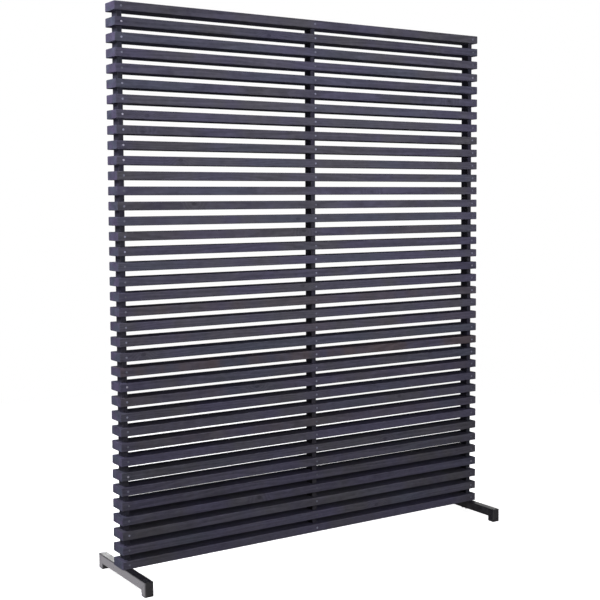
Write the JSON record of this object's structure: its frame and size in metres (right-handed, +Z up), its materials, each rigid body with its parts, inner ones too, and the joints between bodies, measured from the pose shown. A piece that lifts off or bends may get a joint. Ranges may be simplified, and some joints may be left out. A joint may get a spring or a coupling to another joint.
{
  "type": "garden privacy screen",
  "caption": "Free-standing garden privacy screen of dark-stained timber slats threaded on timber posts, standing on two low black steel feet.",
  "frame": {"origin": "on the ground, under the middle of the screen, halfway along the slats and halfway between the front and rear of the feet", "axes": "+X along the slats from the left end to the right end as seen from the front, +Y from the front to the back, +Z up"},
  "size_m": [1.5, 0.36, 1.8523],
  "materials": {
    "slat_timber": "blue-black stain, matt to satin, fine grain",
    "post_timber": "blue-black stain, matt",
    "foot_steel": "satin black powder coat",
    "glide_plastic": "black moulded plastic",
    "bolt_steel": "zinc plated"
  },
  "bodies": {
    "root": {"top_slat": "slat_timber", "slat_02": "slat_timber", "slat_03": "slat_timber", "slat_04": "slat_timber", "slat_05": "slat_timber", "slat_06": "slat_timber", "slat_07": "slat_timber", "slat_08": "slat_timber", "slat_09": "slat_timber", "slat_10": "slat_timber", "slat_11": "slat_timber", "slat_12": "slat_timber", "slat_13": "slat_timber", "slat_14": "slat_timber", "slat_15": "slat_timber", "slat_16": "slat_timber", "slat_17": "slat_timber", "slat_18": "slat_timber", "slat_19": "slat_timber", "slat_20": "slat_timber", "slat_21": "slat_timber", "slat_22": "slat_timber", "slat_23": "slat_timber", "slat_24": "slat_timber", "slat_25": "slat_timber", "slat_26": "slat_timber", "slat_27": "slat_timber", "slat_28": "slat_timber", "slat_29": "slat_timber", "slat_30": "slat_timber", "slat_31": "slat_timber", "slat_32": "slat_timber", "slat_33": "slat_timber", "slat_34": "slat_timber", "slat_35": "slat_timber", "slat_36": "slat_timber", "slat_37": "slat_timber", "slat_38": "slat_timber", "post_left": "post_timber", "post_middle": "post_timber", "post_right": "post_timber", "foot_left_bar": "foot_steel", "foot_left_leg_front": "foot_steel", "foot_left_leg_rear": "foot_steel", "foot_left_glide_front": "glide_plastic", "foot_left_glide_rear": "glide_plastic", "foot_left_bolt_front": "bolt_steel", "foot_left_bolt_rear": "bolt_steel", "foot_right_bar": "foot_steel", "foot_right_leg_front": "foot_steel", "foot_right_leg_rear": "foot_steel", "foot_right_glide_front": "glide_plastic", "foot_right_glide_rear": "glide_plastic", "foot_right_bolt_front": "bolt_steel", "foot_right_bolt_rear": "bolt_steel"}
  },
  "joints": []
}
